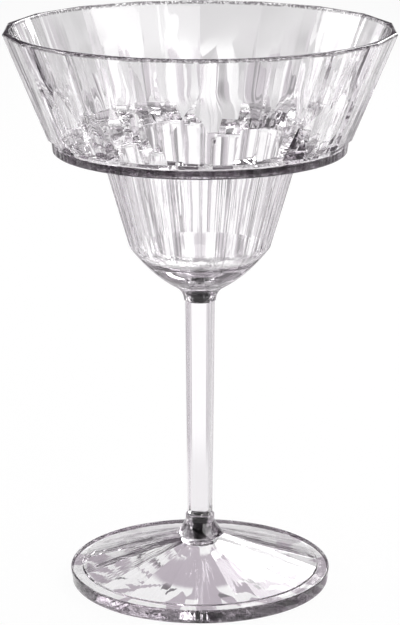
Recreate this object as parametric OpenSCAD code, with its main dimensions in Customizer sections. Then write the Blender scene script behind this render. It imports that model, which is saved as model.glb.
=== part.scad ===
// Stemmed margarita glass in clear moulded plastic: a stepped bowl, a square stem and a
// wide foot. The stem has a round spigot at each end, bonded into a blind socket.
// The origin is the centre of the standing face, and +Z is up.

/* [Overall] */
// Height from the standing face to the lip
glass_h = 169; // [166:0.5:174]
// Flat facets around the bowl, the cup and the hollow under the foot
facets = 18; // [16:2:24]

/* [Bowl] */
// Width of the lip across the corners of its facets
rim_w = 115.5; // [113:0.5:118]
// Width across the corners at the lower edge of the upper bowl's facets
wall_low_w = 89.3; // [87:0.1:92]
// Height of the lower edge of the round band under those facets
shoulder_z = 133.2; // [131:0.2:136]
// Height of that band
band_h = 4; // [3:0.1:5]
// Step from the middle of a facet in to the band
band_step = 0.28; // [0.1:0.02:0.6]
// Loss of radius from the top to the bottom of the band
band_draft = 0.5; // [0.2:0.1:1]
// Rounding along the lower edge of the band
band_round = 0.6; // [0.3:0.1:1]
// Wall of the upper bowl at the lip, at the middle of a facet
rim_wall = 1.7; // [1.4:0.1:2.2]
// Wall of the upper bowl at the ledge, at the middle of a facet
ledge_wall = 2.2; // [1.8:0.1:2.8]
// Thickness of the ledge between the upper bowl and the cup
ledge_t = 2.2; // [2:0.1:4.8]
// Rounding where the wall of the upper bowl meets the ledge
ledge_round = 1.2; // [0.6:0.1:2]
// Rounding where the ledge turns down into the cup
mouth_round = 7; // [4:0.5:16]
// Height of the rounded part of the lip
lip_round = 0.8; // [0.5:0.1:1.2]

/* [Cup] */
// Width across the corners where the cup meets the ledge
cup_top_w = 58.7; // [56:0.1:61]
// Width across the corners at the lower edge of the cup's facets
cup_low_w = 42; // [40:0.2:44]
// Height of that lower edge above the standing face
cup_low_z = 104.6; // [103:0.2:106]
// Wall of the cup at the middle of a facet
cup_wall = 2; // [1.6:0.1:2.4]
// Thickness of the cup's floor above the socket
floor_t = 3; // [2.5:0.1:4]
// Radius of the round bulge under the cup
base_bulge = 43; // [30:1:60]
// Radius of the bowl's neck where the stem meets it
neck_r = 4.75; // [4.6:0.05:5.2]
// Radius where the neck's flare meets the bulge under the cup
neck_flare_r = 7.3; // [7:0.1:8]
// Height of the neck's flare
neck_flare_h = 4.3; // [4:0.1:5]
// Bend of the neck's flare
neck_bend = 5.1; // [4:0.1:8]

/* [Stem] */
// Side of the square stem at its upper end
stem_top_side = 7.6; // [7:0.1:8]
// Side of the square stem at its lower end
stem_low_side = 6.5; // [6:0.1:7]
// Radius of the stem's four long corners at its lower end
stem_corner = 0.8; // [0.5:0.1:1.2]
// Turn of the stem's faces away from the front
stem_turn = -14; // [-45:1:45]
// Height of the joint between the stem and the bowl
upper_joint_z = 87.6; // [86:0.2:89]
// Height of the joint between the stem and the foot
lower_joint_z = 20.4; // [19:0.2:22]

/* [Bonded joints] */
// Radius of the upper spigot
upper_spigot_r = 2.6; // [2.2:0.1:3]
// Length of the upper spigot
upper_spigot_l = 5.4; // [4:0.2:6]
// Radius of the lower spigot
lower_spigot_r = 2.4; // [2:0.1:2.8]
// Length of the lower spigot
lower_spigot_l = 8.4; // [6:0.2:9]
// Thickness of the cured adhesive around a spigot and over its end
bond_t = 0.15; // [0.1:0.05:0.3]

/* [Foot] */
// Width of the foot at the top of its upright edge
foot_w = 79; // [76:0.2:82]
// Height of that edge
foot_edge_h = 4.3; // [3.6:0.1:5]
// Loss of radius from the top to the bottom of that edge
edge_draft = 0.45; // [0.2:0.05:0.8]
// Width of the flat land inside that edge
land_w = 3.4; // [2.5:0.1:4.5]
// Width of the ring that the foot stands on
ring_w = 5; // [4:0.2:6]
// Rounding along the top of that edge
edge_round = 0.5; // [0.3:0.1:0.8]
// Rise of the foot's top from the land to the flare of its neck
foot_rise = 9.3; // [8:0.1:10]
// Radius of the neck where the stem meets it
foot_neck_r = 4.35; // [4.2:0.05:4.8]
// Radius where the neck's flare meets the foot's top
flare_r = 7.3; // [6.8:0.1:8.5]
// Bend of the neck's flare
flare_bend = 20; // [12:0.5:30]
// Height of the straight collar at the top of the neck
collar_h = 1.8; // [1:0.1:2.5]
// Height of the hollow under the foot
hollow_h = 9.2; // [7:0.1:9.6]

/* [Hidden] */
CLEAR = [0.90, 0.88, 0.91, 0.45];
ADHESIVE = [0.92, 0.91, 0.88, 0.6];
$fn = 96;
arc_steps = 14;
// Overlap where two solids join
eps = 0.01;
// Run of a cut past the face that it opens
over = 1;
facet_angle = 360 / facets;
flat = cos(facet_angle / 2);
rim_r = rim_w / 2;
wall_low_r = wall_low_w / 2;
cup_top_r = cup_top_w / 2;
cup_low_r = cup_low_w / 2;
foot_r = foot_w / 2;
band_z = shoulder_z + band_h;
band_top_r = wall_low_r * flat - band_step;
band_low_r = band_top_r - band_draft;
wall_slope = (rim_r - wall_low_r) / (glass_h - band_z);
lip_z = glass_h - lip_round;
lip_r = rim_r - wall_slope * lip_round;
ledge_z = shoulder_z + ledge_t;
ledge_r = (wall_low_r + wall_slope * (ledge_z - band_z)) * flat - ledge_wall;
rim_inner_r = rim_r * flat - rim_wall;
// Fall of the ledge's underside towards the axis, for each unit of radius
under_slope = 0.09;
cup_inner_top_r = cup_top_r * flat - cup_wall;
// Height of the edge of the cup's rounded floor above the lower edge of its facets
dish_rise = 1.4;
cup_inner_low_z = cup_low_z + dish_rise;
cup_slope = (cup_top_r - cup_low_r) / (shoulder_z - cup_low_z);
cup_inner_low_r = (cup_low_r + cup_slope * dish_rise) * flat - cup_wall;
upper_socket_l = upper_spigot_l + bond_t;
lower_socket_l = lower_spigot_l + bond_t;
cup_floor_z = upper_joint_z + upper_socket_l + floor_t;
// Run of the bulge past the lower corners of the cup's facets, out and up
bulge_over = [0.5, 0.7];
base_top = [cup_low_r, cup_low_z] + bulge_over;
base_low = [neck_flare_r, upper_joint_z + neck_flare_h];
land_r = foot_r - land_w;
// Small step from the land up to the foot's sloping top
land_step = 0.4;
slope_low_r = land_r - land_step;
slope_low_z = foot_edge_h + land_step;
flare_z = slope_low_z + foot_rise;
hollow_r = foot_r - edge_draft - ring_w;
// Radius of the flat top of the hollow, at the corners of its facets
hollow_top_r = 5;
hollow_slope = (hollow_r - hollow_top_r) / hollow_h;

// Corners of a ring of facets, with one corner at the front
function ring(r) = [for (i = [0:facets - 1]) r * [cos(i * facet_angle - 90), sin(i * facet_angle - 90)]];

// Points on the arc from p to q that has radius r and bulges to the left of that line,
// or to its right where r is negative
function arc(p, q, r) =
    let (
        chord = q - p,
        half = norm(chord) / 2,
        side = [-chord[1], chord[0]] / norm(chord),
        centre = (p + q) / 2 - side * sign(r) * sqrt(r * r - half * half),
        a = atan2(p[1] - centre[1], p[0] - centre[0]),
        b = atan2(q[1] - centre[1], q[0] - centre[0]),
        turn = (b - a + 540) % 360 - 180
    )
    [for (i = [0:arc_steps]) let (t = a + turn * i / arc_steps) centre + abs(r) * [cos(t), sin(t)]];

// Points that round the corner b of the path a, b, c to radius r
function rounded(a, b, c, r) =
    let (
        u = (a - b) / norm(a - b),
        v = (c - b) / norm(c - b),
        reach = r / tan(acos(u * v) / 2)
    )
    arc(b + u * reach, b + v * reach, r * sign(cross(v - u, -u)));

// Largest radius for the corner b of the path a, b, c that leaves a wall w between it and the point p
function corner_limit(a, b, c, p, w) =
    let (
        u = (a - b) / norm(a - b),
        v = (c - b) / norm(c - b),
        s = sin(acos(u * v) / 2),
        bend = 1 / (s * s) - 1,
        lean = (b - p) * (u + v) / norm(u + v) / s + w,
        room = (b - p) * (b - p) - w * w
    )
    (sqrt(max(0, lean * lean - bend * room)) - lean) / bend;

// Points on the quarter ellipse from the wall of a dish down to its lowest point on the axis
function dish(r, z_high, z_low) =
    [for (i = [0:arc_steps]) let (t = 90 * i / arc_steps) [r * cos(t), z_high - (z_high - z_low) * sin(t)]];

// Solid with flat facets: a stack of rings, each [radius of its corners, height], from the lowest up
module facet_stack(rings) {
    top = len(rings) - 1;
    corners = [for (r = rings, c = ring(r[0])) [c[0], c[1], r[1]]];
    sides = [
        for (k = [0:top - 1], i = [0:facets - 1])
            let (a = k * facets, j = (i + 1) % facets)
            [a + i, a + facets + i, a + facets + j, a + j]
    ];
    low_cap = [for (i = [0:facets - 1]) i];
    high_cap = [for (i = [facets - 1:-1:0]) top * facets + i];
    polyhedron(corners, concat([low_cap, high_cap], sides));
}

// Flat-faceted outside of the cup, with room below for its round neck, running up into the ledge
module cup_facets() {
    facet_stack([
        [cup_low_r - cup_slope * (cup_low_z - upper_joint_z + over), upper_joint_z - over],
        [cup_top_r, shoulder_z]
    ]);
}

// Flat-faceted outside of the upper bowl, from the band up to the lip
module wall_facets() {
    facet_stack([[wall_low_r, band_z], [lip_r, lip_z], [lip_r - lip_round / 2, glass_h]]);
}

// Round ledge between the cup and the upper bowl, with the band around it, running up into the wall
module ledge() {
    axis_low = [0, shoulder_z - under_slope * band_low_r];
    edge_low = [band_low_r, shoulder_z];
    edge_top = [band_top_r, band_z];
    rotate_extrude()
        polygon(concat(
            [axis_low],
            rounded(axis_low, edge_low, edge_top, band_round),
            [edge_top, [band_top_r, band_z + over], [0, band_z + over]]
        ));
}

// Round bulge under the cup, which trims the facets to arcs, and the flared neck below it
module bowl_base() {
    trim_r = rim_r + over;
    rotate_extrude()
        polygon(concat(
            [[0, upper_joint_z]],
            arc([neck_r, upper_joint_z], base_low, neck_bend),
            arc(base_low, base_top, -base_bulge),
            [[trim_r, base_top[1]], [trim_r, glass_h + over], [0, glass_h + over]]
        ));
}

// Smooth inside of the upper bowl and the cup
module bowl_inside() {
    lip_low = [rim_inner_r, lip_z];
    corner = [ledge_r, ledge_z];
    mouth = [cup_inner_top_r, ledge_z];
    cup_low = [cup_inner_low_r, cup_inner_low_z];
    root = [cup_top_r * flat, shoulder_z - under_slope * (band_low_r - cup_top_r)];
    mouth_r = min(
        mouth_round,
        corner_limit(corner, mouth, cup_low, root, cup_wall),
        ledge_r - cup_inner_top_r
    );
    rotate_extrude()
        polygon(concat(
            [[0, glass_h + over], [rim_inner_r + lip_round, glass_h + over]],
            [[rim_inner_r + lip_round / 2, glass_h], lip_low],
            rounded(lip_low, corner, mouth, ledge_round),
            rounded(corner, mouth, cup_low, mouth_r),
            dish(cup_inner_low_r, cup_inner_low_z, cup_floor_z)
        ));
}

// Stepped bowl: facets and a round band outside, smooth inside, with a socket for the stem under its cup
module bowl() {
    color(CLEAR) difference() {
        intersection() {
            union() {
                cup_facets();
                ledge();
                wall_facets();
            }
            bowl_base();
        }
        bowl_inside();
        translate([0, 0, upper_joint_z]) cylinder(h = upper_socket_l, r = upper_spigot_r + bond_t);
    }
}

// Square with rounded corners
module soft_square(side, corner) {
    reach = side / 2 - corner;
    hull() for (x = [-reach, reach], y = [-reach, reach]) translate([x, y]) circle(corner, $fn = 32);
}

// Square stem, slimmer at the foot, with a round spigot at each end
module stem() {
    color(CLEAR) {
        rotate(stem_turn) translate([0, 0, lower_joint_z])
            linear_extrude(upper_joint_z - lower_joint_z, scale = stem_top_side / stem_low_side)
                soft_square(stem_low_side, stem_corner);
        translate([0, 0, upper_joint_z - eps])
            cylinder(h = upper_spigot_l + eps, r = upper_spigot_r);
        translate([0, 0, lower_joint_z - lower_spigot_l])
            cylinder(h = lower_spigot_l + eps, r = lower_spigot_r);
    }
}

// Outside of the foot: upright round edge, flat land, sloping top and a flared neck
module foot_outside() {
    rotate_extrude()
        polygon(concat(
            [[0, 0], [foot_r - edge_draft, 0], [foot_r, foot_edge_h - edge_round]],
            [[foot_r - edge_round, foot_edge_h], [land_r, foot_edge_h], [slope_low_r, slope_low_z]],
            arc([flare_r, flare_z], [foot_neck_r, lower_joint_z - collar_h], flare_bend),
            [[foot_neck_r, lower_joint_z], [0, lower_joint_z]]
        ));
}

// Wide foot with a faceted hollow below and a socket for the stem in its neck
module foot() {
    color(CLEAR) difference() {
        foot_outside();
        facet_stack([[hollow_r + hollow_slope * over, -over], [hollow_top_r, hollow_h]]);
        translate([0, 0, lower_joint_z - lower_socket_l])
            cylinder(h = lower_socket_l + over, r = lower_spigot_r + bond_t);
    }
}

// Cured adhesive around a spigot and over its end, open where the spigot comes in
module bond(socket_r, socket_l, spigot_r, spigot_l) {
    color(ADHESIVE) difference() {
        cylinder(h = socket_l, r = socket_r);
        translate([0, 0, -eps]) cylinder(h = spigot_l + eps, r = spigot_r);
    }
}

// Adhesive in the socket under the bowl
module upper_bond() {
    translate([0, 0, upper_joint_z])
        bond(upper_spigot_r + bond_t, upper_socket_l, upper_spigot_r, upper_spigot_l);
}

// Adhesive in the socket in the foot's neck
module lower_bond() {
    translate([0, 0, lower_joint_z]) mirror([0, 0, 1])
        bond(lower_spigot_r + bond_t, lower_socket_l, lower_spigot_r, lower_spigot_l);
}

bowl();
stem();
foot();
upper_bond();
lower_bond();
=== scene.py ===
"""Margarita glass in clear faceted plastic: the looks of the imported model, in its own frame."""

import math

import bmesh
import bpy
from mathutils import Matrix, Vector


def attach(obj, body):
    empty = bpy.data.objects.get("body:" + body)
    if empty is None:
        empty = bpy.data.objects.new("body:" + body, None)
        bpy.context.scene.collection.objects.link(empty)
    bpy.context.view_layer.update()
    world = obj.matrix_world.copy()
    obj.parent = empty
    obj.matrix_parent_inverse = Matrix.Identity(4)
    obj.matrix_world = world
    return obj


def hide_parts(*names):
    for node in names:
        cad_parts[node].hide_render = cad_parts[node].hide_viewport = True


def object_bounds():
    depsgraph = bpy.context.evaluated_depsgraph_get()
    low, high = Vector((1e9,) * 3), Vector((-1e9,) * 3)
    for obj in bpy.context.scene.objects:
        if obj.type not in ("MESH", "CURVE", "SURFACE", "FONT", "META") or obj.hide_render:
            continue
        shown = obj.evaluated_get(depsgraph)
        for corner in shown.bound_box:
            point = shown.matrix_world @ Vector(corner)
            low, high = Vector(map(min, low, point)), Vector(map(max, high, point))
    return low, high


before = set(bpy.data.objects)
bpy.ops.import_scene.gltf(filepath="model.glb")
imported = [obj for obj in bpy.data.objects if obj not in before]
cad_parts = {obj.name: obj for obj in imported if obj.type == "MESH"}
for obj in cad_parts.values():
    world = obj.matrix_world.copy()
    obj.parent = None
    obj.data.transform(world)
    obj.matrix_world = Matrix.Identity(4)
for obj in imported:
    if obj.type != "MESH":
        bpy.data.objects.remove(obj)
cad_low, cad_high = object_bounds()

# Sizes of the glass in millimetres, as in the part's source
MM = 0.001
FACETS = 18
GLASS_H = cad_high.z / MM
RIM_R = 57.75
WALL_LOW_R = 44.65
SHOULDER_Z = 133.2
BAND_H = 4.0
BAND_STEP = 0.28
BAND_DRAFT = 0.5
BAND_ROUND = 0.6
UNDER_SLOPE = 0.09
RIM_WALL = 1.7
LEDGE_WALL = 2.2
LEDGE_T = 2.2
LEDGE_ROUND = 1.2
MOUTH_ROUND = 7.0
CUP_TOP_R = 29.35
CUP_LOW_R = 21.0
CUP_LOW_Z = 104.6
CUP_WALL = 2.0
DISH_RISE = 1.4
FLOOR_T = 3.0
BASE_BULGE = 43.0
BULGE_OVER = Vector((0.5, 0.7))
NECK_R = 4.75
NECK_FLARE_R = 7.3
NECK_FLARE_H = 4.3
NECK_BEND = 5.1
STEM_TOP_SIDE = 7.6
STEM_LOW_SIDE = 6.5
STEM_CORNER = 0.8
STEM_TURN = -14.0
UPPER_JOINT_Z = 87.6
LOWER_JOINT_Z = 20.4
UPPER_SPIGOT_R = 2.6
UPPER_SPIGOT_L = 5.4
LOWER_SPIGOT_R = 2.4
LOWER_SPIGOT_L = 8.4
BOND_T = 0.15
FOOT_R = 39.5
FOOT_EDGE_H = 4.3
EDGE_DRAFT = 0.45
LAND_W = 3.4
LAND_STEP = 0.4
RING_W = 5.0
FOOT_RISE = 9.3
FOOT_NECK_R = 4.35
FLARE_R = 7.3
FLARE_BEND = 20.0
COLLAR_H = 1.8
HOLLOW_H = 9.2
HOLLOW_TOP_R = 5.0

# Radii of the softened edges that moulded pieces have, in millimetres
FACET_SOFT = 0.7
LIP_SOFT = 0.65
WALL_LOW_SOFT = 0.35
BAND_TOP_SOFT = 0.1
CUP_ROOT_SOFT = 1.0
SEAM_SOFT = 0.25
SOCKET_SOFT = 0.3
FOOT_EDGE_SOFT = 0.5
LAND_SOFT = 0.3
HOLLOW_SOFT = 1.0
STEM_END_BEVEL = 0.2

# Clearance between neighbouring pieces, and the radius at which a mesh closes on the axis, in millimetres
SEAT_GAP = 0.03
AXIS_R = 0.5

# Sampling of the meshes
FLAT_POINTS = 7
ARC_STEPS = 12
SOFT_STEPS = 8
DISH_STEPS = 24
STEM_FLAT_POINTS = 6
STEM_ARC_POINTS = 8
FACE_AREA_WEIGHT = 100

HALF_FACET = math.pi / FACETS
FLAT = math.cos(HALF_FACET)

# Clear plastic: its tint for each metre of depth, and the painted shade that darkens its colour where it is
# seen edge-on
IOR = 1.49
TINT = (0.10, 0.0, 0.10, 1)
BOWL_TINT_DENSITY = 18.0
STEM_TINT_DENSITY = 20.0
FOOT_TINT_DENSITY = 12.0
WHITE = (1, 1, 1, 1)
EDGE_ON_SHADE_BLEND = 0.5
EDGE_ON_SHADE_TONES = ((0.68, WHITE), (0.92, (0.12, 0.11, 0.12, 1)))

# Surface of the plastic, in metres: faint streaks where it flowed in the mould, a slow wobble of the walls,
# small tilted cells inside the upper bowl, smudges from handling, scuffs where the foot stands, and fine
# dark specks of painted shade on the lip, the bowl's band, the foot's edge and both necks
STREAKS_AROUND = 90
STREAKS_PER_M = 18.0
BOWL_STREAK_DEPTH = 0.15 * MM
BOWL_STREAKS_FROM = ((CUP_LOW_Z - 1) * MM, (CUP_LOW_Z + 2) * MM)
FOOT_STREAK_DEPTH = 0.04 * MM
FOOT_STREAKS_FROM = ((FLARE_R + 2) * MM, (FLARE_R + 5) * MM)
STEM_STREAK_DEPTH = 0.002 * MM
WOBBLES_PER_M = 70.0
WOBBLE_DEPTH = 0.3 * MM
CELLS_AROUND = 50
CELLS_PER_M = 60.0
CELL_TILT = 0.33
CELL_MIDDLE = (0.5, 0.5, 0.5)
CELLS_LOW = (134.5 * MM, 135.5 * MM)
CELLS_HIGH = (152 * MM, 160 * MM)
CELLS_DEPTH = (0.8 * MM, 1.2 * MM)
SMUDGES_PER_M = 60.0
SMUDGE_NOISE = (0.5, 0.8)
SMUDGE_ROUGHNESS = 0.01
SCUFFS_PER_M = 900.0
SCUFF_NOISE = (0.4, 0.6)
SCUFF_ROUGHNESS = 0.25
SCUFF_HEIGHT = (0.1 * MM, 0.4 * MM)
SHADE_SPECKS_PER_M = 1300.0
SHADE_SPECK_TONES = ((0.47, (0.18, 0.17, 0.18, 1)), (0.62, WHITE))
EDGE_SHADE_SPECKS_FROM = (38.9 * MM, 39.1 * MM)
BAND_SHADE_SPECKS_FROM = (42.5 * MM, 43.2 * MM)
BAND_SHADE_SPECKS_TO = (135.6 * MM, 136.2 * MM)
BOWL_NECK_SHADE_SPECKS_TO = (94 * MM, 97 * MM)
LIP_SHADE_SPECKS_FROM = (167.9 * MM, 168.3 * MM)
FOOT_NECK_SHADE_SPECKS_FROM = (13.5 * MM, 15 * MM)

# Cured adhesive: clear, with dark clouds of painted shade that darken both necks
SHADE_CLOUDS_PER_M = 800.0
SHADE_CLOUD_DETAIL = 2.0
SHADE_CLOUD_TONES = ((0.57, (0.02, 0.02, 0.02, 1)), (0.65, (0.90, 0.89, 0.87, 1)))
ADHESIVE_ROUGHNESS = 0.05

# Floor: its own colour, and the share of plain light from it for the camera and for the glass
FLOOR_REACH = 4.0
FLOOR_GAP = 0.2 * MM
FLOOR_COLOUR = (0.86, 0.85, 0.86, 1)
SEEN_SHARE = 0.95
GLASS_SHARE = 0.7

# Light on the floor that only the glass shows, in place of the light that the facets throw around it:
# fans of white, lilac and dark round the glass, and white shards on lilac under its foot
FANS = ((8, 0.2), (24, 0.8))
FAN_TONES = (
    (0.0, (0.02, 0.02, 0.02, 1)),
    (0.14, (0.08, 0.07, 0.08, 1)),
    (0.26, (0.48, 0.43, 0.48, 1)),
    (0.65, (0.70, 0.65, 0.70, 1)),
    (0.8, (1.25, 1.25, 1.25, 1)),
)
FAN_NEAR = (0.1, 0.16)
FAN_FAR = (0.7, 1.1)
PLAIN_TONE = (0.98, 0.97, 0.98, 1)
LILAC = (0.66, 0.585, 0.66, 1)
SHARDS_AROUND = 40
SHARDS_PER_M = 90.0
SHARDS_WHITER_PER_M = 12.0
SHARDS_EVEN_AT = 0.018
SHARD_TONES = (
    (0.0, (0.20, 0.18, 0.20, 1)),
    (0.12, LILAC),
    (0.55, (1.35, 1.35, 1.35, 1)),
)
SHARD_NEAR = (0.012, 0.016)
SHARD_FAR = (0.04, 0.055)

# Room: white at the height of the table, and dark above, a little lighter behind the glass and to the left,
# by the direction that is looked in
ROOM_DARK_ABOVE = (0.04, 0.15)
ROOM_FRONT = (0.04, 0.04, 0.04, 1)
ROOM_BACK = (0.12, 0.105, 0.12, 1)
ROOM_BEHIND = (-0.2, 0.6)
ROOM_RIGHT = (0.2, 0.45)

# Soft boxes one metre from the middle of the stem: azimuth and elevation in degrees, where azimuth 0 is
# away from the camera and right is positive, then width and height in metres, and brightness
BOX_CENTRE = Vector((0, 0, 0.08))
SOFT_BOXES = {
    "back_right_box": (30, 32, 0.6, 0.6, 6.0),
    "front_right_box": (130, 32, 0.9, 0.5, 4.0),
    "left_box": (-70, 30, 0.6, 0.5, 4.0),
    "top_box": (0, 80, 0.6, 0.6, 3.0),
}

# Camera, fitted to the ellipses of the lip and the foot in the photo
FOCAL_PIXELS = 2506.5
IMAGE_H = 625
SENSOR = 36.0
CAMERA_AT = (0, -0.72164, 0.27904)
CAMERA_PITCH = 15.152
BOUNCES = 24


def arc(p, q, r):
    """Points on the arc of radius r from p to q, left of that line, or right of it if r is negative."""
    p, q = Vector(p), Vector(q)
    chord = q - p
    side = Vector((-chord.y, chord.x)).normalized()
    centre = (p + q) / 2 - side * math.copysign(math.sqrt(r * r - chord.length_squared / 4), r)
    a = math.atan2(p.y - centre.y, p.x - centre.x)
    b = math.atan2(q.y - centre.y, q.x - centre.x)
    turn = (b - a + math.pi) % (2 * math.pi) - math.pi
    angles = [a + turn * i / ARC_STEPS for i in range(ARC_STEPS + 1)]
    return [centre + abs(r) * Vector((math.cos(t), math.sin(t))) for t in angles]


def soften(path, radii):
    """A path of straight lines with each inner corner rounded to its radius."""
    points = [Vector(path[0])]
    for before, corner, after, radius in zip(path, path[1:], path[2:], radii):
        corner = Vector(corner)
        into = (Vector(before) - corner).normalized()
        out = (Vector(after) - corner).normalized()
        half = into.angle(out) / 2
        reach = radius / math.tan(half)
        centre = corner + (into + out).normalized() * (radius / math.sin(half))
        start = corner + into * reach - centre
        end = corner + out * reach - centre
        swing = start.angle(end)
        for i in range(SOFT_STEPS + 1):
            t = i / SOFT_STEPS
            blend = start * math.sin((1 - t) * swing) + end * math.sin(t * swing)
            points.append(centre + blend / math.sin(swing))
    points.append(Vector(path[-1]))
    return points


def facet_outline(corner_r, soft=FACET_SOFT):
    """A ring of flat facets with softened corners, one corner at the front."""
    apothem = corner_r * FLAT
    reach = (apothem - soft) * math.tan(HALF_FACET)
    points = []
    for i in range(FACETS):
        middle = (2 * i + 1) * HALF_FACET - math.pi / 2
        normal = Vector((math.cos(middle), math.sin(middle)))
        along = Vector((-normal.y, normal.x))
        corner_in = [(-reach, t) for t in (-HALF_FACET, -HALF_FACET / 2)]
        flat = [(reach * (2 * k / (FLAT_POINTS - 1) - 1), 0.0) for k in range(FLAT_POINTS)]
        corner_out = [(reach, HALF_FACET / 2)]
        for shift, turn in corner_in + flat + corner_out:
            depth = apothem - soft + soft * math.cos(turn)
            points.append(normal * depth + along * (shift + soft * math.sin(turn)))
    return points


DIRECTIONS = [p.normalized() for p in facet_outline(1.0, FACET_SOFT / RIM_R)]


def facet_ring(p):
    """The ring of facets whose corners have the radius and height of the point p."""
    return [Vector((c.x, c.y, p[1])) for c in facet_outline(p[0])]


def round_ring(p):
    """The round ring through the point p, with as many points as a ring of facets."""
    return [Vector((d.x * p[0], d.y * p[0], p[1])) for d in DIRECTIONS]


def square_outline(side, corner):
    """The stem's square with rounded corners, turned as the stem is."""
    reach = side / 2 - corner
    points = []
    for quarter in range(4):
        start = math.radians(STEM_TURN + 90 * quarter)
        normal = Vector((math.cos(start), math.sin(start)))
        along = Vector((-normal.y, normal.x))
        for k in range(STEM_FLAT_POINTS):
            points.append(normal * side / 2 + along * reach * (2 * k / (STEM_FLAT_POINTS - 1) - 1))
        for k in range(1, STEM_ARC_POINTS):
            t = math.pi / 2 * k / STEM_ARC_POINTS
            points.append((normal + along) * reach + corner * (normal * math.cos(t) + along * math.sin(t)))
    return points


STEM_DIRECTIONS = [p.normalized() for p in square_outline(STEM_LOW_SIDE, STEM_CORNER)]


def skin(name, rings):
    """A closed mesh over a stack of rings of equal length, whose first and last ring close on the axis."""
    count = len(rings[0])
    corners = [c * MM for ring in rings for c in ring]
    corners += [Vector((0, 0, ring[0].z * MM)) for ring in (rings[0], rings[-1])]
    first_tip, last_tip = len(corners) - 2, len(corners) - 1
    last = (len(rings) - 1) * count
    faces = []
    for i in range(count):
        j = (i + 1) % count
        faces.append((first_tip, j, i))
        for low in range(0, last, count):
            high = low + count
            faces.append((low + i, low + j, high + j, high + i))
        faces.append((last_tip, last + i, last + j))
    mesh = bpy.data.meshes.new(name)
    mesh.from_pydata(corners, [], faces)
    shell = bmesh.new()
    shell.from_mesh(mesh)
    bmesh.ops.recalc_face_normals(shell, faces=shell.faces)
    shell.to_mesh(mesh)
    shell.free()
    mesh.shade_smooth()
    piece = bpy.data.objects.new(name, mesh)
    bpy.context.scene.collection.objects.link(piece)
    weighted = piece.modifiers.new("flat_facets", "WEIGHTED_NORMAL")
    weighted.weight = FACE_AREA_WEIGHT
    weighted.keep_sharp = True
    return piece


def bulge_trim(bulge, facet_slope):
    """Ring where the round bulge under the cup cuts its facets, found along the bulge in each direction."""
    ring = []
    for across in facet_outline(1.0, FACET_SOFT / CUP_LOW_R):
        reach = across.length
        for p, q in zip(bulge, bulge[1:]):
            gap_p = reach * (CUP_LOW_R + facet_slope * (p.y - CUP_LOW_Z)) - p.x
            gap_q = reach * (CUP_LOW_R + facet_slope * (q.y - CUP_LOW_Z)) - q.x
            if gap_p >= 0 > gap_q:
                at = p.lerp(q, gap_p / (gap_p - gap_q))
                ring.append(Vector((*(across.normalized() * at.x), at.y)))
                break
    return ring


def bowl_neck(base_low):
    """Path from the top of the socket, round the end of the neck and up its flare."""
    socket_r = UPPER_SPIGOT_R + BOND_T
    socket_z = UPPER_JOINT_Z + UPPER_SPIGOT_L + BOND_T
    flare_z = UPPER_JOINT_Z + SEAM_SOFT
    socket = [(AXIS_R, socket_z), (socket_r, socket_z), (socket_r, UPPER_JOINT_Z)]
    end = [(socket_r, UPPER_JOINT_Z), (NECK_R, UPPER_JOINT_Z), (NECK_R, flare_z)]
    path = soften(socket, [SOCKET_SOFT])
    path += soften(end, [SEAM_SOFT])[1:-1]
    return path + arc((NECK_R, flare_z), base_low, NECK_BEND)[1:]


def bowl_inside(rim_inner_r, wall_slope, cup_slope):
    """Path from the lip down the smooth inside of the upper bowl and the cup to the middle of its floor."""
    lip = (RIM_R, GLASS_H)
    ledge_z = SHOULDER_Z + LEDGE_T
    ledge_r = (WALL_LOW_R + wall_slope * (LEDGE_T - BAND_H)) * FLAT - LEDGE_WALL
    mouth_r = CUP_TOP_R * FLAT - CUP_WALL
    dish_z = CUP_LOW_Z + DISH_RISE
    dish_r = (CUP_LOW_R + cup_slope * DISH_RISE) * FLAT - CUP_WALL
    dish_h = dish_z - (UPPER_JOINT_Z + UPPER_SPIGOT_L + BOND_T + FLOOR_T)
    lean = (mouth_r - dish_r) / (ledge_z - dish_z) * dish_h / dish_r
    start = math.asin(lean / (1 - lean))
    dish = Vector((dish_r / math.cos(start), dish_h / (1 - math.sin(start))))
    dish_top = dish_z + dish.y * math.sin(start)
    path = soften(
        [lip, (rim_inner_r, GLASS_H), (ledge_r, ledge_z), (mouth_r, ledge_z), (dish_r, dish_z)],
        [LIP_SOFT, LEDGE_ROUND, MOUTH_ROUND],
    )
    turns = [start + (math.pi / 2 - start) * i / DISH_STEPS for i in range(1, DISH_STEPS)]
    return path[1:] + [Vector((dish.x * math.cos(t), dish_top - dish.y * math.sin(t))) for t in turns]


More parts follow.
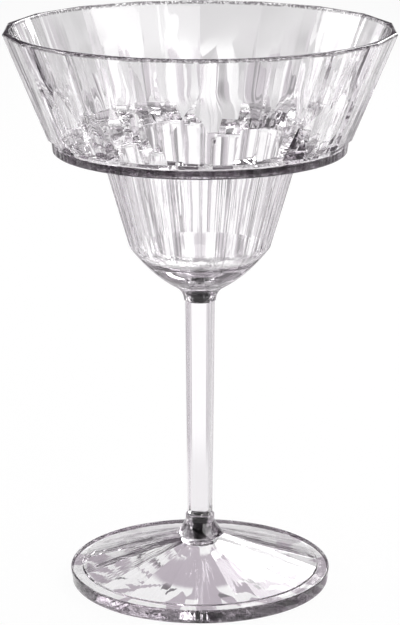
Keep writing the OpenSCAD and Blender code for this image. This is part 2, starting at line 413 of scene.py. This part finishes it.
def make_bowl():
    band_z = SHOULDER_Z + BAND_H
    band_top_r = WALL_LOW_R * FLAT - BAND_STEP
    band_low_r = band_top_r - BAND_DRAFT
    rim_inner_r = RIM_R * FLAT - RIM_WALL
    wall_slope = (RIM_R - WALL_LOW_R) / (GLASS_H - band_z)
    cup_slope = (CUP_TOP_R - CUP_LOW_R) / (SHOULDER_Z - CUP_LOW_Z)
    base_low = (NECK_FLARE_R, UPPER_JOINT_Z + NECK_FLARE_H)
    base_top = Vector((CUP_LOW_R, CUP_LOW_Z)) + BULGE_OVER
    bulge = arc(base_low, base_top, -BASE_BULGE)
    crease = bulge_trim(bulge, cup_slope)
    crease_low = min(c.z for c in crease)
    crease_high = max(c.z for c in crease)

    root_z = SHOULDER_Z - UNDER_SLOPE * (band_low_r - CUP_TOP_R)
    root = Vector((CUP_TOP_R - cup_slope * (SHOULDER_Z - root_z), root_z))
    below_root = root - Vector((cup_slope, 1)) * CUP_ROOT_SOFT
    above_crease = Vector((CUP_LOW_R + cup_slope * (crease_high - CUP_LOW_Z), crease_high))
    under = soften(
        [below_root, root, (band_low_r, SHOULDER_Z), (band_top_r, band_z), (WALL_LOW_R, band_z)],
        [CUP_ROOT_SOFT, BAND_ROUND, BAND_TOP_SOFT],
    )
    wall = soften(
        [(band_top_r, band_z), (WALL_LOW_R, band_z), (RIM_R, GLASS_H), (rim_inner_r, GLASS_H)],
        [WALL_LOW_SOFT, LIP_SOFT],
    )

    rings = [round_ring(p) for p in bowl_neck(base_low)]
    rings += [round_ring(p) for p in bulge[1:] if p.y < crease_low]
    rings += [crease, facet_ring(above_crease), facet_ring(below_root)]
    rings += [round_ring(p) for p in under[1:-1]]
    rings += [facet_ring(p) for p in wall[1:-1]]
    rings += [round_ring(p) for p in bowl_inside(rim_inner_r, wall_slope, cup_slope)]
    return skin("clear_bowl_shell", rings)


def make_foot():
    socket_r = LOWER_SPIGOT_R + BOND_T
    socket_z = LOWER_JOINT_Z - LOWER_SPIGOT_L - BOND_T
    land_r = FOOT_R - LAND_W
    slope_low = (land_r - LAND_STEP, FOOT_EDGE_H + LAND_STEP)
    flare_low = (FLARE_R, slope_low[1] + FOOT_RISE)
    edge_low_r = FOOT_R - EDGE_DRAFT
    ring_r = edge_low_r - RING_W
    neck_z = LOWER_JOINT_Z - COLLAR_H
    hollow = soften([(AXIS_R, HOLLOW_H), (HOLLOW_TOP_R, HOLLOW_H), (ring_r, 0)], [HOLLOW_SOFT])
    edge = soften(
        [(ring_r, 0), (edge_low_r, 0), (FOOT_R, FOOT_EDGE_H), (land_r, FOOT_EDGE_H), slope_low, flare_low],
        [FOOT_EDGE_SOFT, FOOT_EDGE_SOFT, LAND_SOFT, LAND_SOFT],
    )
    flare = arc(flare_low, (FOOT_NECK_R, neck_z), FLARE_BEND)
    neck = soften(
        [flare[-1], (FOOT_NECK_R, LOWER_JOINT_Z), (socket_r, LOWER_JOINT_Z), (socket_r, socket_z)],
        [SEAM_SOFT, SEAM_SOFT],
    )
    socket = soften([(socket_r, LOWER_JOINT_Z), (socket_r, socket_z), (AXIS_R, socket_z)], [SOCKET_SOFT])

    rings = [facet_ring(p) for p in hollow]
    rings += [round_ring(p) for p in edge[1:-1] + flare + neck[1:-1] + socket[1:]]
    return skin("clear_foot_shell", rings)


def make_stem():
    def square(side, z):
        return [Vector((c.x, c.y, z)) for c in square_outline(side, STEM_CORNER * side / STEM_LOW_SIDE)]

    def spigot(r, z):
        return [Vector((d.x * r, d.y * r, z)) for d in STEM_DIRECTIONS]

    low_z = LOWER_JOINT_Z + SEAT_GAP
    high_z = UPPER_JOINT_Z - SEAT_GAP
    low_tip = LOWER_JOINT_Z - LOWER_SPIGOT_L
    high_tip = UPPER_JOINT_Z + UPPER_SPIGOT_L
    rings = [
        spigot(AXIS_R, low_tip),
        spigot(LOWER_SPIGOT_R - SOCKET_SOFT, low_tip),
        spigot(LOWER_SPIGOT_R, low_tip + SOCKET_SOFT),
        spigot(LOWER_SPIGOT_R, low_z),
        square(STEM_LOW_SIDE - 2 * STEM_END_BEVEL, low_z),
        square(STEM_LOW_SIDE, low_z + STEM_END_BEVEL),
        square(STEM_TOP_SIDE, high_z - STEM_END_BEVEL),
        square(STEM_TOP_SIDE - 2 * STEM_END_BEVEL, high_z),
        spigot(UPPER_SPIGOT_R, high_z),
        spigot(UPPER_SPIGOT_R, high_tip - SOCKET_SOFT),
        spigot(UPPER_SPIGOT_R - SOCKET_SOFT, high_tip),
        spigot(AXIS_R, high_tip),
    ]
    return skin("clear_stem_bar", rings)


def make_bond(name, joint_z, spigot_r, spigot_l, up):
    """The film of adhesive around a spigot and over its end, going up (1) or down (-1) from the joint."""
    inner_r = spigot_r + SEAT_GAP
    outer_r = spigot_r + BOND_T - SEAT_GAP
    inner_l = spigot_l + SEAT_GAP
    outer_l = spigot_l + BOND_T - SEAT_GAP
    path = [
        (AXIS_R, inner_l),
        (inner_r, inner_l),
        (inner_r, SEAT_GAP),
        (outer_r, SEAT_GAP),
        (outer_r, outer_l),
        (AXIS_R, outer_l),
    ]
    return skin(name, [round_ring((r, joint_z + up * l)) for r, l in path])


def add(tree, kind, inputs, **settings):
    """A new shader node with its settings, and with each input set to a value or linked to an output."""
    made = tree.nodes.new("ShaderNode" + kind)
    for key, value in settings.items():
        setattr(made, key, value)
    for socket, value in inputs.items():
        if isinstance(value, bpy.types.NodeSocket):
            tree.links.new(value, made.inputs[socket])
        else:
            made.inputs[socket].default_value = value
    return made


def maths(tree, operation, *values):
    return add(tree, "Math", dict(enumerate(values)), operation=operation).outputs["Value"]


def vectors(tree, operation, *values):
    return add(tree, "VectorMath", dict(enumerate(values)), operation=operation).outputs["Vector"]


def scaled(tree, vector, scale):
    return add(tree, "VectorMath", {0: vector, "Scale": scale}, operation="SCALE").outputs["Vector"]


def blend(tree, factor, a, b):
    return add(tree, "Mix", {"Factor": factor, "A": a, "B": b}, data_type="RGBA").outputs["Result"]


def fade(tree, value, start, end):
    """0 where the value is up to start, 1 from end, and smooth between."""
    inputs = {"Value": value, "From Min": start, "From Max": end}
    return add(tree, "MapRange", inputs, interpolation_type="SMOOTHSTEP").outputs["Result"]


def noise(tree, where, scale, detail=1.0):
    return add(tree, "TexNoise", {"Vector": where, "Scale": scale, "Detail": detail}).outputs["Fac"]


def tones(tree, value, stops, interpolation="LINEAR"):
    """The colour at a value of a ramp of (position, colour) stops."""
    made = add(tree, "ValToRGB", {"Fac": value})
    ramp = made.color_ramp
    ramp.interpolation = interpolation
    while len(ramp.elements) < len(stops):
        ramp.elements.new(1.0)
    for element, (position, colour) in zip(ramp.elements, stops):
        element.position = position
        element.color = colour
    return made.outputs["Color"]


class Place:
    """Where a point lies: its position, its distance from the axis, and the way outward."""

    def __init__(self, tree):
        self.tree = tree
        self.point = add(tree, "TexCoord", {}).outputs["Object"]
        axes = add(tree, "SeparateXYZ", {0: self.point}).outputs
        self.x, self.y, self.z = axes["X"], axes["Y"], axes["Z"]
        level = add(tree, "CombineXYZ", {"X": self.x, "Y": self.y}).outputs["Vector"]
        self.reach = add(tree, "VectorMath", {0: level}, operation="LENGTH").outputs["Value"]
        self.outward = vectors(tree, "NORMALIZE", level)

    def stretched(self, length, around, per_m):
        """A vector for a texture with this many steps round the axis, and per metre along a length."""
        turn = scaled(self.tree, self.outward, around / (2 * math.pi))
        steps = maths(self.tree, "MULTIPLY", length, per_m)
        along = add(self.tree, "CombineXYZ", {"Z": steps}).outputs["Vector"]
        return vectors(self.tree, "ADD", turn, along)


def clear_plastic(name, density):
    """Clear tinted plastic with smudges, scuffs and painted shade where it is seen edge-on: its material,
    its place and its shader's inputs.
    """
    material = bpy.data.materials.new(name)
    material.use_nodes = True
    tree = material.node_tree
    place = Place(tree)
    facing = add(tree, "LayerWeight", {"Blend": EDGE_ON_SHADE_BLEND}).outputs["Facing"]
    smudges = fade(tree, noise(tree, place.point, SMUDGES_PER_M), *SMUDGE_NOISE)
    scuffs = fade(tree, noise(tree, place.point, SCUFFS_PER_M), *SCUFF_NOISE)
    standing = maths(tree, "SUBTRACT", 1.0, fade(tree, place.z, *SCUFF_HEIGHT))
    worn = maths(tree, "MULTIPLY", maths(tree, "MULTIPLY", scuffs, standing), SCUFF_ROUGHNESS)
    roughness = maths(tree, "MULTIPLY_ADD", smudges, SMUDGE_ROUGHNESS, worn)
    shader = tree.nodes["Principled BSDF"]
    shader.inputs["Transmission Weight"].default_value = 1.0
    shader.inputs["IOR"].default_value = IOR
    # Painted shade: the colour turns dark where the plastic is seen edge-on
    tree.links.new(tones(tree, facing, EDGE_ON_SHADE_TONES), shader.inputs["Base Color"])
    tree.links.new(roughness, shader.inputs["Roughness"])
    absorb = add(tree, "VolumeAbsorption", {"Color": TINT, "Density": density}).outputs["Volume"]
    tree.links.new(absorb, tree.nodes["Material Output"].inputs["Volume"])
    return material, place, shader.inputs


def streaks(place, depth, amount):
    """Normal of a surface with faint streaks that run up a wall, or outward on the foot."""
    where = place.stretched(place.z, STREAKS_AROUND, STREAKS_PER_M)
    inputs = {"Strength": amount, "Distance": depth, "Height": noise(place.tree, where, 1.0)}
    return add(place.tree, "Bump", inputs).outputs["Normal"]


def wobble(place, normal, amount):
    height = noise(place.tree, place.point, WOBBLES_PER_M)
    inputs = {"Strength": amount, "Distance": WOBBLE_DEPTH, "Height": height, "Normal": normal}
    return add(place.tree, "Bump", inputs).outputs["Normal"]


def tilted_cells(place, normal):
    """Normal with small flat cells, each tilted its own way, low on the inside of the upper bowl."""
    tree = place.tree
    band_z = SHOULDER_Z + BAND_H
    wall_slope = (RIM_R - WALL_LOW_R) / (GLASS_H - band_z)
    axis_r = (WALL_LOW_R - wall_slope * band_z) * FLAT * MM
    outside = maths(tree, "MULTIPLY_ADD", place.z, wall_slope * FLAT, axis_r)
    inside = fade(tree, maths(tree, "SUBTRACT", outside, place.reach), *CELLS_DEPTH)
    above = fade(tree, place.z, *CELLS_LOW)
    below = maths(tree, "SUBTRACT", 1.0, fade(tree, place.z, *CELLS_HIGH))
    amount = maths(tree, "MULTIPLY", maths(tree, "MULTIPLY", above, below), inside)
    where = place.stretched(place.z, CELLS_AROUND, CELLS_PER_M)
    cells = add(tree, "TexVoronoi", {"Vector": where, "Scale": 1.0}).outputs["Color"]
    tilt = vectors(tree, "SUBTRACT", cells, CELL_MIDDLE)
    lean = scaled(tree, tilt, maths(tree, "MULTIPLY", amount, CELL_TILT))
    return vectors(tree, "NORMALIZE", vectors(tree, "ADD", normal, lean))


def add_shade_specks(place, shader, amount):
    """Darken the plastic with fine specks of painted shade, where the amount is not 0."""
    shade_specks = tones(place.tree, noise(place.tree, place.point, SHADE_SPECKS_PER_M), SHADE_SPECK_TONES)
    inputs = {"Factor": amount, "A": shader["Base Color"].links[0].from_socket, "B": shade_specks}
    mixed = add(place.tree, "Mix", inputs, data_type="RGBA", blend_type="MULTIPLY").outputs["Result"]
    place.tree.links.new(mixed, shader["Base Color"])


def bowl_plastic():
    material, place, shader = clear_plastic("bowl_acrylic", BOWL_TINT_DENSITY)
    tree = place.tree
    walls = fade(tree, place.z, *BOWL_STREAKS_FROM)
    flow = streaks(place, BOWL_STREAK_DEPTH, walls)
    tree.links.new(tilted_cells(place, wobble(place, flow, walls)), shader["Normal"])
    # Painted shade: fine dark specks on the band, the neck and the lip
    below = maths(tree, "SUBTRACT", 1.0, fade(tree, place.z, *BAND_SHADE_SPECKS_TO))
    band = maths(tree, "MULTIPLY", below, fade(tree, place.reach, *BAND_SHADE_SPECKS_FROM))
    neck = maths(tree, "SUBTRACT", 1.0, fade(tree, place.z, *BOWL_NECK_SHADE_SPECKS_TO))
    lip = fade(tree, place.z, *LIP_SHADE_SPECKS_FROM)
    add_shade_specks(place, shader, maths(tree, "MAXIMUM", maths(tree, "MAXIMUM", band, neck), lip))
    return material


def stem_plastic():
    material, place, shader = clear_plastic("stem_acrylic", STEM_TINT_DENSITY)
    place.tree.links.new(streaks(place, STEM_STREAK_DEPTH, 1.0), shader["Normal"])
    return material


def foot_plastic():
    material, place, shader = clear_plastic("foot_acrylic", FOOT_TINT_DENSITY)
    slope = fade(place.tree, place.reach, *FOOT_STREAKS_FROM)
    place.tree.links.new(streaks(place, FOOT_STREAK_DEPTH, slope), shader["Normal"])
    # Painted shade: fine dark specks on the foot's edge and its neck
    edge = fade(place.tree, place.reach, *EDGE_SHADE_SPECKS_FROM)
    neck = fade(place.tree, place.z, *FOOT_NECK_SHADE_SPECKS_FROM)
    add_shade_specks(place, shader, maths(place.tree, "MAXIMUM", edge, neck))
    return material


def adhesive():
    material = bpy.data.materials.new("cured_adhesive")
    material.use_nodes = True
    tree = material.node_tree
    # Painted shade: dark clouds in the film darken the necks around it
    shade_clouds = noise(tree, Place(tree).point, SHADE_CLOUDS_PER_M, SHADE_CLOUD_DETAIL)
    shader = tree.nodes["Principled BSDF"]
    shader.inputs["Transmission Weight"].default_value = 1.0
    shader.inputs["IOR"].default_value = IOR
    shader.inputs["Roughness"].default_value = ADHESIVE_ROUGHNESS
    tree.links.new(tones(tree, shade_clouds, SHADE_CLOUD_TONES), shader.inputs["Base Color"])
    return material


def glass_light(tree):
    """Colour of the light on the floor that only the glass shows."""
    place = Place(tree)
    azimuth = maths(tree, "ARCTAN2", place.x, place.y)
    wave = 0.0
    for count, weight in FANS:
        turns = maths(tree, "COSINE", maths(tree, "MULTIPLY", azimuth, count))
        wave = maths(tree, "MULTIPLY_ADD", turns, weight, wave)
    # The wave runs from -1 to 1, and the tones from 0 to 1
    fans = tones(tree, maths(tree, "MULTIPLY_ADD", wave, 0.5, 0.5), FAN_TONES)
    where = place.stretched(place.reach, SHARDS_AROUND, SHARDS_PER_M)
    cells = add(tree, "TexVoronoi", {"Vector": where, "Scale": 1.0}).outputs["Color"]
    pick = add(tree, "SeparateColor", {0: cells}).outputs["Red"]
    outer = maths(tree, "SUBTRACT", place.reach, SHARDS_EVEN_AT)
    pick = maths(tree, "MULTIPLY_ADD", outer, SHARDS_WHITER_PER_M, pick)
    shards = tones(tree, pick, SHARD_TONES, "CONSTANT")
    light = blend(tree, fade(tree, place.reach, *SHARD_NEAR), LILAC, shards)
    light = blend(tree, fade(tree, place.reach, *SHARD_FAR), light, PLAIN_TONE)
    light = blend(tree, fade(tree, place.reach, *FAN_NEAR), light, fans)
    return blend(tree, fade(tree, place.reach, *FAN_FAR), light, PLAIN_TONE)


def make_floor():
    mesh = bpy.data.meshes.new("floor")
    r = FLOOR_REACH
    mesh.from_pydata([(-r, -r, 0), (r, -r, 0), (r, r, 0), (-r, r, 0)], [], [(0, 1, 2, 3)])
    floor = bpy.data.objects.new("floor", mesh)
    floor.location.z = -FLOOR_GAP
    bpy.context.scene.collection.objects.link(floor)
    material = bpy.data.materials.new("pale_floor")
    material.use_nodes = True
    tree = material.node_tree
    tree.nodes.clear()
    rays = add(tree, "LightPath", {}).outputs
    seen = rays["Is Camera Ray"]
    glass = maths(tree, "MAXIMUM", rays["Is Glossy Ray"], rays["Is Transmission Ray"])
    share = maths(tree, "MULTIPLY_ADD", glass, GLASS_SHARE, maths(tree, "MULTIPLY", seen, SEEN_SHARE))
    glow = add(tree, "Emission", {"Color": blend(tree, seen, glass_light(tree), WHITE)}).outputs["Emission"]
    paper = add(tree, "BsdfDiffuse", {"Color": FLOOR_COLOUR}).outputs["BSDF"]
    surface = add(tree, "MixShader", {"Fac": share, 1: paper, 2: glow}).outputs["Shader"]
    add(tree, "OutputMaterial", {"Surface": surface})
    mesh.materials.append(material)


def make_room():
    world = bpy.data.worlds.new("studio")
    bpy.context.scene.world = world
    world.use_nodes = True
    tree = world.node_tree
    tree.nodes.clear()
    towards = add(tree, "TexCoord", {}).outputs["Generated"]
    axes = add(tree, "SeparateXYZ", {0: towards}).outputs
    behind = fade(tree, axes["Y"], *ROOM_BEHIND)
    left = maths(tree, "SUBTRACT", 1.0, fade(tree, axes["X"], *ROOM_RIGHT))
    room = blend(tree, maths(tree, "MULTIPLY", behind, left), ROOM_FRONT, ROOM_BACK)
    room = blend(tree, fade(tree, axes["Z"], *ROOM_DARK_ABOVE), PLAIN_TONE, room)
    seen = add(tree, "LightPath", {}).outputs["Is Camera Ray"]
    background = add(tree, "Background", {"Color": blend(tree, seen, room, WHITE)}).outputs["Background"]
    add(tree, "OutputWorld", {"Surface": background})


def make_soft_box(name, azimuth, elevation, width, height, brightness):
    data = bpy.data.lights.new(name, "AREA")
    data.shape = "RECTANGLE"
    data.size = width
    data.size_y = height
    data.energy = brightness * math.pi * width * height
    lamp = bpy.data.objects.new(name, data)
    a, e = math.radians(azimuth), math.radians(elevation)
    towards = Vector((math.sin(a) * math.cos(e), math.cos(a) * math.cos(e), math.sin(e)))
    lamp.location = BOX_CENTRE + towards
    lamp.rotation_euler = (-towards).to_track_quat("-Z", "Y").to_euler()
    lamp.visible_camera = False
    bpy.context.scene.collection.objects.link(lamp)


def make_camera():
    data = bpy.data.cameras.new("camera")
    data.sensor_width = SENSOR
    data.lens = FOCAL_PIXELS / IMAGE_H * SENSOR
    camera = bpy.data.objects.new("camera", data)
    camera.location = CAMERA_AT
    camera.rotation_euler = (math.radians(90 - CAMERA_PITCH), 0, 0)
    bpy.context.scene.collection.objects.link(camera)
    bpy.context.scene.camera = camera


glue = adhesive()
pieces = {
    "bowl": (make_bowl(), bowl_plastic()),
    "stem": (make_stem(), stem_plastic()),
    "foot": (make_foot(), foot_plastic()),
    "upper_bond": (make_bond("upper_bond_film", UPPER_JOINT_Z, UPPER_SPIGOT_R, UPPER_SPIGOT_L, 1), glue),
    "lower_bond": (make_bond("lower_bond_film", LOWER_JOINT_Z, LOWER_SPIGOT_R, LOWER_SPIGOT_L, -1), glue),
}
for node, (piece, material) in pieces.items():
    piece.data.materials.append(material)
    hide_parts(node)
    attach(piece, "root")

make_floor()
make_room()
make_camera()
for name, box in SOFT_BOXES.items():
    make_soft_box(name, *box)

scene = bpy.context.scene
scene.view_settings.view_transform = "Standard"
scene.cycles.max_bounces = BOUNCES
scene.cycles.glossy_bounces = BOUNCES
scene.cycles.transmission_bounces = BOUNCES
